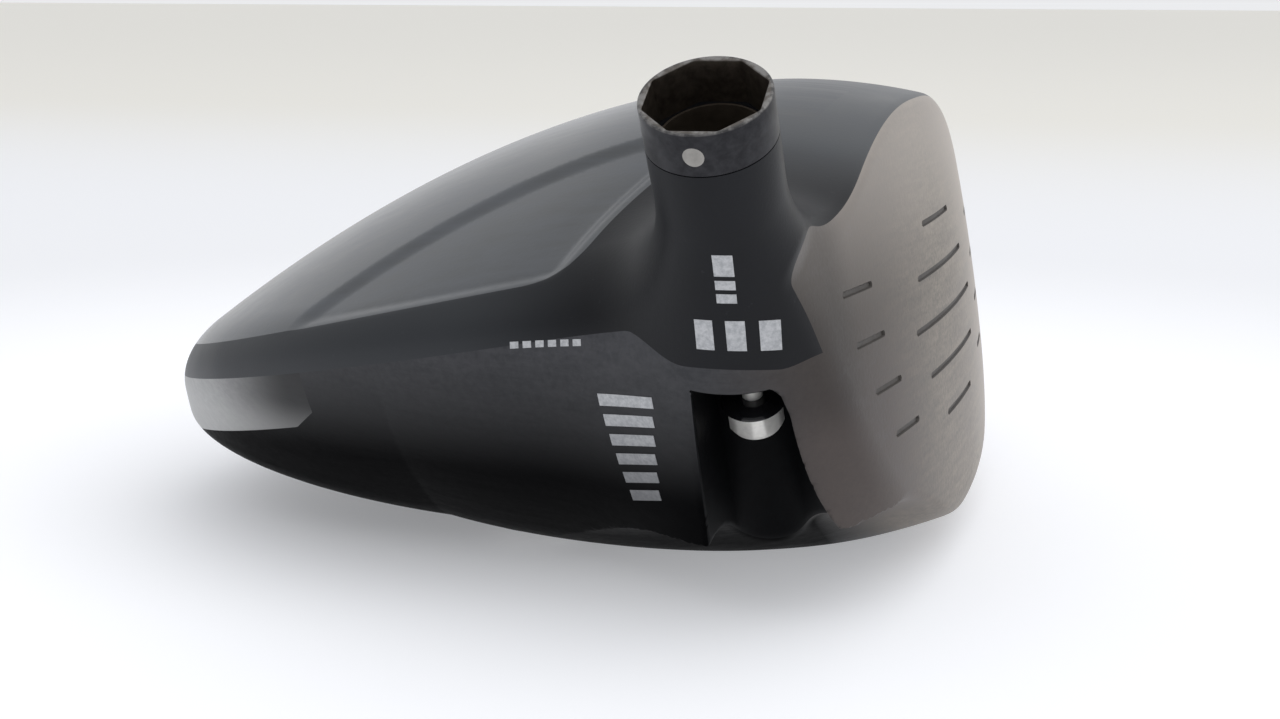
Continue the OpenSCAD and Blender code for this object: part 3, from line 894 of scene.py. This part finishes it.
step(collar_d, GONE, UPPER, lambda c: axis_co(c)[2] > 55)
step(port_skin, LINING, UPPER, lambda c: (axis_co(c)[2] < 45) & (c[:, 0] > 20) & (c[:, 1] < -15))
step(lambda P: axis_co(P)[3] - SLEEVE_R, GONE, LINING,
     lambda c: (axis_co(c)[2] > 39.5) & (axis_co(c)[3] < 6.6))
step(face_d, FACE, UPPER, lambda c: c[:, 0] > 30)
step(seam_d, LOWER, UPPER, lambda c: c[:, 2] > 8)
lab[(lab == UPPER) & (centres()[:, 2] < 9)] = LOWER
step(crown_d, CROWN, UPPER, lambda c: c[:, 2] > 22)
step(rear_d, PAD, LOWER, lambda c: (c[:, 0] < -10) & (c[:, 2] > 0.5))
step(sole_d, SOLE, LOWER, lambda c: c[:, 2] < 16)
for at in WEIGHTS.values():
    step(hole_d(*lean_frame(at)), GONE, SOLE,
         lambda c: (np.hypot(c[:, 0] - at[0], c[:, 1] - at[1]) < 10) & (c[:, 2] < 12))

# score lines on the face, as height, middle and half length: each groove is cut along its rim and
# its floor, then sunk
GROOVE_R, GROOVE_WALL, GROOVE_DEPTH = 0.4, 0.15, 0.3
LINES = [(43 - 6.1 * k, -3.8, w) for k, w in enumerate((10.5, 17.8, 22.5, 17.8, 10.5))]
LINES += [(39.1 - 6 * k, -3.8 + m * c, 5.1) for k, c in enumerate((42.4, 40.6, 36.6, 31.1)) for m in (-1, 1)]


def groove_d(P):
    """Distance to the nearest groove's rim, negative inside."""
    best = np.full(len(P), 1e9)
    for z, y, w in LINES:
        dy, dz = np.abs(P[:, 1] - y) - w + GROOVE_R, np.abs(P[:, 2] - z)
        best = np.minimum(best, np.hypot(np.maximum(dy, 0), dz) - GROOVE_R)
    return best


def middle_d(P):
    """Height above the nearest groove's middle line."""
    dz = P[:, 2][:, None] - np.array([l[0] for l in LINES])
    return np.take_along_axis(dz, np.abs(dz).argmin(1)[:, None], 1)[:, 0]


for line, snap in ((middle_d, 0.34), (groove_d, 0.2), (lambda P: groove_d(P) + GROOVE_WALL, 0.2)):
    mesh.cut(skin, line, (lab == FACE) & (groove_d(centres()) < 1.4), snap)
    lab = lab[mesh.src]

P, T = mesh.P, mesh.T
NRM = grad(skin, P, 0.06)
NRM /= np.maximum(np.linalg.norm(NRM, axis=1, keepdims=True), 1e-9)

for code, name, node, slot, t in (
    (UPPER, "upper_shell", "upper_casting", "painted_shell", 1.05),
    (LOWER, "lower_shell", "lower_casting", "bare_casting", 1.05),
    (FACE, "face_cup", "face_plate", "face_metal", 2.2),
    (CROWN, "crown_skin", "crown_panel", "crown_composite", 1.1),
    (SOLE, "sole_skin", "sole_plate", "sole_composite", 1.1),
    (PAD, "rear_weight_pad", "rear_pad", "pad_alloy", 1.1),
    (LINING, "port_lining", "port_liner", "port_black", 0.8),
):
    Ts = T[lab == code]
    if code != FACE:
        shell_piece(name, P, Ts, NRM, t, [node], slot)
        continue
    used = np.unique(Ts)
    depth = np.full(len(P), -9.0)
    depth[used] = -groove_d(P[used])
    sunk = P - NRM * (GROOVE_DEPTH * np.clip(depth / GROOVE_WALL, 0, 1))[:, None]
    flat = (depth[Ts].min(1) > -0.02) & (depth[Ts].max(1) > 0.02)
    face = shell_piece(name, sunk, Ts, NRM, t, [node], slot, flat)
    face.data.materials.append(groove_fill)
    idx = np.zeros(len(face.data.polygons), np.int32)
    idx[:len(flat)][flat] = 1
    face.data.polygons.foreach_set("material_index", idx)

# ------------------------------------------------------------ turned pieces
def polygon(n, r, turn=0.0, most=1e9):
    """Radius by angle of a regular polygon with n sides, r across to a side's middle, cut off at most."""
    half = math.pi / n
    return lambda th: np.minimum(most, r / np.cos((th + turn) % (2 * half) - half))


octagon = polygon(8, 6.6 * math.cos(math.pi / 8), math.pi / 8, 6.53)
collar_wall = [(6.86, COLLAR_S + 0.02), (HOSEL_R, COLLAR_S + 0.14), (HOSEL_R, 70.8),
               (HOSEL_R, MOUTH_S - 0.24)]
collar_rim = [(6.96, MOUTH_S - 0.1), (6.87, MOUTH_S - 0.02), (6.78, MOUTH_S), (6.68, MOUTH_S - 0.02),
              (6.58, MOUTH_S - 0.1)]
collar_pocket = [(6.5, MOUTH_S - 0.3), (6.5, 71.5), (6.5, COLLAR_S + 0.02)]
turned("collar", collar_wall + collar_rim + collar_pocket, ["hosel_collar"], "collar_metal", 192,
       {6: lambda th: 0.6 * 6.84 + 0.4 * (octagon(th) + 0.2), 7: lambda th: octagon(th) + 0.15,
        8: lambda th: octagon(th) + 0.05, 9: octagon, 10: octagon, 11: octagon})
turned("bore_sleeve", [(5.88, 42), (5.88, COLLAR_S), (5.6, COLLAR_S), (5.6, 64.85), (5.4, 64.8),
                       (5.25, 64.65), (5.25, 49), (4.85, 49), (4.85, 42)], ["hosel_liner"], "liner_metal")


def dome_on_collar(name, th0, s0, r, lift):
    """A low round dome on the collar, at angle th0 round it and s0 along its axis."""
    rings, segs = 6, 40
    V, F = [], []
    for k in range(rings + 1):
        rr = r * k / rings
        h = lift * (1 - (k / rings) ** 3)
        for j in range(segs):
            a = 2 * math.pi * j / segs
            du, ds = rr * math.cos(a), rr * math.sin(a)
            t = th0 + du / HOSEL_R
            R = HOSEL_R + h - (0.05 if k == rings else 0)
            V.append((R * math.cos(t), R * math.sin(t), s0 + ds))
    for k in range(rings):
        for j in range(segs):
            a, b = k * segs + j, k * segs + (j + 1) % segs
            F.append((a, a + segs, b + segs, b))
    mend(to_object(name, np.array(V) @ AXES.T + FOOT, F, ["alignment_dot"], "dot_paint"))


dome_on_collar("alignment_spot", math.radians(-91), COLLAR_S + 2.5, 1.3, 0.03)

socket = lambda r: polygon(6, r * math.cos(math.pi / 6))
flats = lambda r: polygon(6, r - 0.17, 0.2, r)
low = HEAD_S - 3.6
screw_head = [(0, low + 1.9), (1.9, low + 1.9), (1.9, low + 0.22), (2.08, low), (2.9, low), (3.3, low + 0.7),
              (3.36, low + 0.84), (3.36, HEAD_S - 0.1), (3.26, HEAD_S)]
screw_stem = [(1.2, HEAD_S), (1.2, 43.05), (2.2, 43.05), (2.4, 43.25), (2.4, 47.85), (1.8, 48.45), (0, 48.45)]
turned("captive_screw", screw_head + screw_stem, ["hosel_screw"], "screw_metal", body="screw",
       shapes={1: socket(1.9), 2: socket(1.9), 3: socket(2.1),
               5: flats(3.3), 6: flats(3.36), 7: flats(3.36), 8: flats(3.26)})
turned("black_washer", fillet([(1.25, HEAD_S), (3.95, HEAD_S), (3.5, HEAD_S + 0.5), (2.3, HEAD_S + 1),
                               (1.25, HEAD_S + 1)], [0.02, 0.12, 0.6, 0.5, 0.05]),
       ["screw_washer"], "washer_black", body="screw_carrier")


def between(corners, u, v):
    """The point at shares u and v across an area given by its four corners, in order round it."""
    a, b, c, d = np.array(corners, float)
    return (1 - u) * (1 - v) * a + u * (1 - v) * b + u * v * c + (1 - u) * v * d


def on_skin(name, patches, node, lift=0.05, n=10, sink=0.12):
    """Thin painted patches that follow the skin. A patch is four corners, in order round it."""
    V, F = [], []
    for quad in patches:
        u, v = np.meshgrid(np.linspace(0, 1, n), np.linspace(0, 1, n), indexing="ij")
        G = between(quad, u.reshape(-1, 1), v.reshape(-1, 1))
        for _ in range(8):
            G[:, 1] -= np.clip(skin(G) / np.minimum(grad(skin, G)[:, 1], -0.2), -2, 2)
        N = grad(skin, G, 0.06)
        N /= np.linalg.norm(N, axis=1, keepdims=True)
        base, k = sum(map(len, V)), n * n
        V += [G + N * lift, G - N * sink]
        edge = [i * n for i in range(n)] + [(n - 1) * n + j for j in range(1, n)]
        edge += [i * n + n - 1 for i in range(n - 2, -1, -1)] + [j for j in range(n - 2, 0, -1)]
        for i in range(n - 1):
            for j in range(n - 1):
                q = [i * n + j, (i + 1) * n + j, (i + 1) * n + j + 1, i * n + j + 1]
                F += [[base + t for t in q], [base + k + t for t in q[::-1]]]
        for s, t in zip(edge, edge[1:] + edge[:1]):
            F.append([base + t, base + s, base + k + s, base + k + t])
    mend(to_object(name, np.concatenate(V), F, [node], "dot_paint", smooth=False, material=mark_paint),
         weld=False)


def patch(corners, u0, u1, v0, v1):
    """Part of a four-cornered area, by shares across and down it."""
    return [between(corners, u, v) for u, v in ((u0, v0), (u1, v0), (u1, v1), (u0, v1))]


block = [(34.5, -65.5, 38.7), (43.7, -65.5, 38.7), (43.7, -65.5, 34.4), (34.5, -65.5, 34.4)]
bar = [(37.0, -65.5, 45.7), (40.0, -65.5, 45.7), (40.0, -65.5, 40.3), (37.0, -65.5, 40.3)]
side = [(20.5, -56.6, 27.8), (28.8, -60.4, 28.5), (30.2, -53.3, 13.3), (22.2, -47.4, 11.2)]
dash = [(10.4, -56.2, 32.9), (19.9, -57.8, 34.0), (19.9, -57.8, 33.0), (10.4, -56.2, 31.9)]
blocks = [patch(block, u, u + 0.22, 0.1, 0.9) for u in (0.02, 0.39, 0.76)]
bars = [patch(bar, 0.15, 0.85, v0, v1) for v0, v1 in ((0, 0.44), (0.53, 0.72), (0.81, 1))]
on_skin("neck_marks", blocks + bars, "upper_casting")
on_skin("side_marks", [patch(side, 0.06 + 0.02 * i, 0.94 - 0.05 * i, 0.02 + 0.155 * i, 0.11 + 0.155 * i)
                       for i in range(6)], "lower_casting")
on_skin("side_dashes", [patch(dash, i / 6, i / 6 + 0.11, 0.1, 0.9) for i in range(6)], "lower_casting", 0.03)

# CAD nodes that are carried over get their slot's material
kept = {"screw_seat": "seat_metal", "screw_retainer": "clip_metal"}
for spot in WEIGHTS:
    kept.update({f"{spot}_cup": "cup_metal", f"{spot}_weight": "weight_metal", f"{spot}_ring": "ring_polymer"})
for node, slot in kept.items():
    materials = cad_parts[node].data.materials
    materials.clear()
    materials.append(MATERIALS[slot])


# ------------------------------------------------------------ floor, lights, camera
def plain(name, size, loc):
    me = bpy.data.meshes.new(name)
    h = size / 2
    me.from_pydata([(-h, -h, 0), (h, -h, 0), (h, h, 0), (-h, h, 0)], [], [(0, 1, 2, 3)])
    ob = bpy.data.objects.new(name, me)
    ob.location = loc
    bpy.context.scene.collection.objects.link(ob)
    return ob


floor = plain("floor", 12.0, (0, 0, -0.0002))
fm = Mat("floor_with_painted_light")
tone = fm.mix(fm.mapr(fm.xyz()[1], 0.30, 0.9), lin((221, 222, 225)), lin((215, 213, 207)))
# painted light: the floor glows, most near the head, lifting the shade around it; the glow dims close to a
# point below the head's rear, a painted contact shadow
far = fm.vector("LENGTH", fm.co)["Value"]
under_shade = fm.vector("DISTANCE", fm.co, (-0.035, 0.02, 0))["Value"]
glow = fm.mix(fm.mapr(under_shade, 0.030, 0.085, 0.68, 1), (0, 0, 0, 1), tone)
fm.set(Base_Color=tone, Emission_Color=glow, Emission_Strength=fm.mapr(far, 0.08, 0.30, 0.50, 0.24),
       Roughness=0.7, Specular_IOR_Level=0.2)
floor.data.materials.append(fm.m)


def area(name, loc, target, size, power):
    li = bpy.data.lights.new(name, "AREA")
    li.shape, li.size, li.size_y = "RECTANGLE", size[0], size[1]
    li.energy = power
    ob = bpy.data.objects.new(name, li)
    ob.location = loc
    ob.rotation_euler = (Vector(target) - Vector(loc)).to_track_quat("-Z", "Y").to_euler()
    bpy.context.scene.collection.objects.link(ob)


area("key_top", (0.55, 0.05, 1.4), (0, -0.02, 0), (1.6, 1.6), 5)
area("front_fill", (-0.4, -1.2, 1.3), (0, -0.1, 0), (1.2, 0.8), 1.6)

world = bpy.data.worlds.new("studio")
bpy.context.scene.world = world
world.use_nodes = True
wt = world.node_tree
bg = wt.nodes["Background"]


def wnode(kind, **inputs):
    """A world node with its inputs set or linked."""
    n = wt.nodes.new(kind)
    for k, v in inputs.items():
        if isinstance(v, (int, float)):
            n.inputs[k.replace("_", " ")].default_value = v
        else:
            wt.links.new(v, n.inputs[k.replace("_", " ")])
    return n.outputs[0]


sep = wt.nodes.new("ShaderNodeSeparateXYZ")
wt.links.new(wt.nodes.new("ShaderNodeTexCoord").outputs["Generated"], sep.inputs[0])
# darker towards the photographer, lighter behind the head and overhead
dim = {"To_Min": 0.32, "To_Max": 0.86}
back = wnode("ShaderNodeMapRange", Value=sep.outputs[1], From_Min=-0.75, From_Max=0.0, **dim)
high = wnode("ShaderNodeMapRange", Value=sep.outputs[2], From_Min=0.3, From_Max=0.65, **dim)
mx = wt.nodes.new("ShaderNodeMath")
mx.operation = "MAXIMUM"
wt.links.new(back, mx.inputs[0])
wt.links.new(high, mx.inputs[1])
bg.inputs[0].default_value = (0.97, 0.98, 1.0, 1)
wt.links.new(mx.outputs[0], bg.inputs[1])

view = bpy.context.scene.view_settings
view.view_transform = "Standard"
view.look = "None"

cam = bpy.data.cameras.new("camera")
cam.sensor_width, cam.lens = 36.0, 55.69
cam.clip_start, cam.clip_end = 0.02, 30
camera = bpy.data.objects.new("camera", cam)
# fitted to the photograph: where it stands, in millimetres, and where it looks
az, el, roll = math.radians(15.86), math.radians(10.75), math.radians(0.18)
ahead = Vector((-math.sin(az) * math.cos(el), math.cos(az) * math.cos(el), -math.sin(el)))
level = Vector((math.cos(az), math.sin(az), 0))
upright = level.cross(ahead)
right = math.cos(roll) * level + math.sin(roll) * upright
up = -math.sin(roll) * level + math.cos(roll) * upright
turn = Matrix((right, up, -ahead)).transposed()
camera.matrix_world = Matrix.Translation(Vector((84.69, -258.76, 73.17)) * MM) @ turn.to_4x4()
bpy.context.scene.collection.objects.link(camera)
bpy.context.scene.camera = camera
